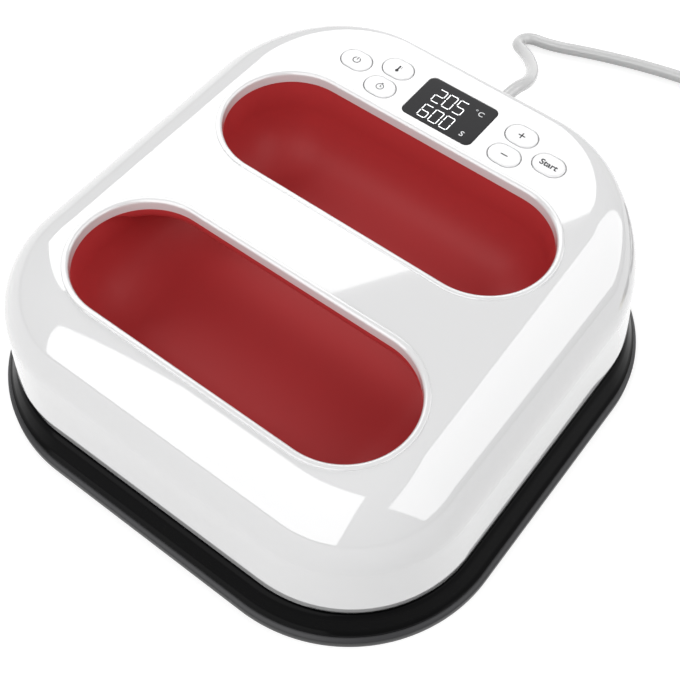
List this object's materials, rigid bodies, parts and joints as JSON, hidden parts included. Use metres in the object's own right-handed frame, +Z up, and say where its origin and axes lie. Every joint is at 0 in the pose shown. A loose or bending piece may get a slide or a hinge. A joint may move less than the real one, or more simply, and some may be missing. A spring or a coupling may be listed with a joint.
{
  "type": "mini handheld heat press",
  "caption": "Hand-held heat press: square heated plate under a rounded white housing with hand slots either side of a grip bar, key panel with display, mains lead and plug.",
  "frame": {"origin": "centre of the heat plate's underside, on the surface it stands on", "axes": "+Z up; +X along the hand slots towards the start key; +Y from the front slot to the key panel and the lead"},
  "size_m": [0.334, 0.4004, 0.0847],
  "materials": {
    "shell_white": "high gloss white moulding",
    "key_white": "gloss white key cap with grey legend",
    "tub_red": "fine satin red moulding",
    "skirt_black": "gloss black moulding",
    "plate_coated": "dark non-stick coated cast aluminium",
    "lens_smoke": "dark smoked window",
    "display_module": "segment display module",
    "board_green": "glass-fibre circuit board",
    "switch_black": "small component plastic",
    "steel_screws": "zinc plated steel",
    "sheet_steel": "pressed sheet metal",
    "element_sheath": "heater tube sheath",
    "ceramic_white": "ceramic sleeve",
    "blanket_fibre": "ceramic fibre mat",
    "relay_blue": "relay case",
    "core_iron": "laminated iron core",
    "terminal_green": "terminal block",
    "clamp_black": "moulded saddle",
    "cord_grey": "smooth pale grey cord jacket",
    "tie_black": "soft strap",
    "blade_brass": "plated brass"
  },
  "bodies": {
    "press": {"heat_plate": "plate_coated", "plate_screws": "steel_screws", "heating_element": "element_sheath", "element_terminals": "ceramic_white", "element_clamps": "sheet_steel", "clamp_screws": "steel_screws", "temperature_probe": "sheet_steel", "thermal_cutout": "ceramic_white", "sensor_screws": "steel_screws", "insulation_blanket": "blanket_fibre", "heat_shield": "sheet_steel", "shield_screws": "steel_screws", "base_skirt": "skirt_black", "top_shell": "shell_white", "grip_tub": "tub_red", "tub_screws": "steel_screws", "bar_underside": "tub_red", "grip_screws": "steel_screws", "display_lens": "lens_smoke", "lcd_module": "display_module", "key_switches": "switch_black", "control_board": "board_green", "control_board_screws": "steel_screws", "buzzer": "switch_black", "power_board": "board_green", "power_board_screws": "steel_screws", "transformer": "core_iron", "relay": "relay_blue", "filter_capacitor": "switch_black", "terminal_block": "terminal_green", "cord_clamp": "clamp_black", "cord_clamp_screws": "steel_screws", "inner_lead": "cord_grey", "cord_strain_relief": "cord_grey", "cord_lead": "cord_grey", "cord_coil": "cord_grey", "coil_tie": "tie_black", "plug_body": "cord_grey", "plug_blades": "blade_brass", "plug_earth_pin": "blade_brass"},
    "power_key": {"power_key": "key_white"},
    "temperature_key": {"temperature_key": "key_white"},
    "timer_key": {"timer_key": "key_white"},
    "plus_key": {"plus_key": "key_white"},
    "minus_key": {"minus_key": "key_white"},
    "start_key": {"start_key": "key_white"}
  },
  "joints": [
    {"name": "power_key_press", "type": "slide", "parent": "press", "child": "power_key", "axis": [0, 0, -1], "range_m": [0, 0.0006], "stiffness_N_per_m": 400},
    {"name": "temperature_key_press", "type": "slide", "parent": "press", "child": "temperature_key", "axis": [0, 0, -1], "range_m": [0, 0.0006], "stiffness_N_per_m": 400},
    {"name": "timer_key_press", "type": "slide", "parent": "press", "child": "timer_key", "axis": [0, 0, -1], "range_m": [0, 0.0006], "stiffness_N_per_m": 400},
    {"name": "plus_key_press", "type": "slide", "parent": "press", "child": "plus_key", "axis": [0, 0, -1], "range_m": [0, 0.0006], "stiffness_N_per_m": 400},
    {"name": "minus_key_press", "type": "slide", "parent": "press", "child": "minus_key", "axis": [0, 0, -1], "range_m": [0, 0.0006], "stiffness_N_per_m": 400},
    {"name": "start_key_press", "type": "slide", "parent": "press", "child": "start_key", "axis": [0, 0, -1], "range_m": [0, 0.0006], "stiffness_N_per_m": 400}
  ]
}
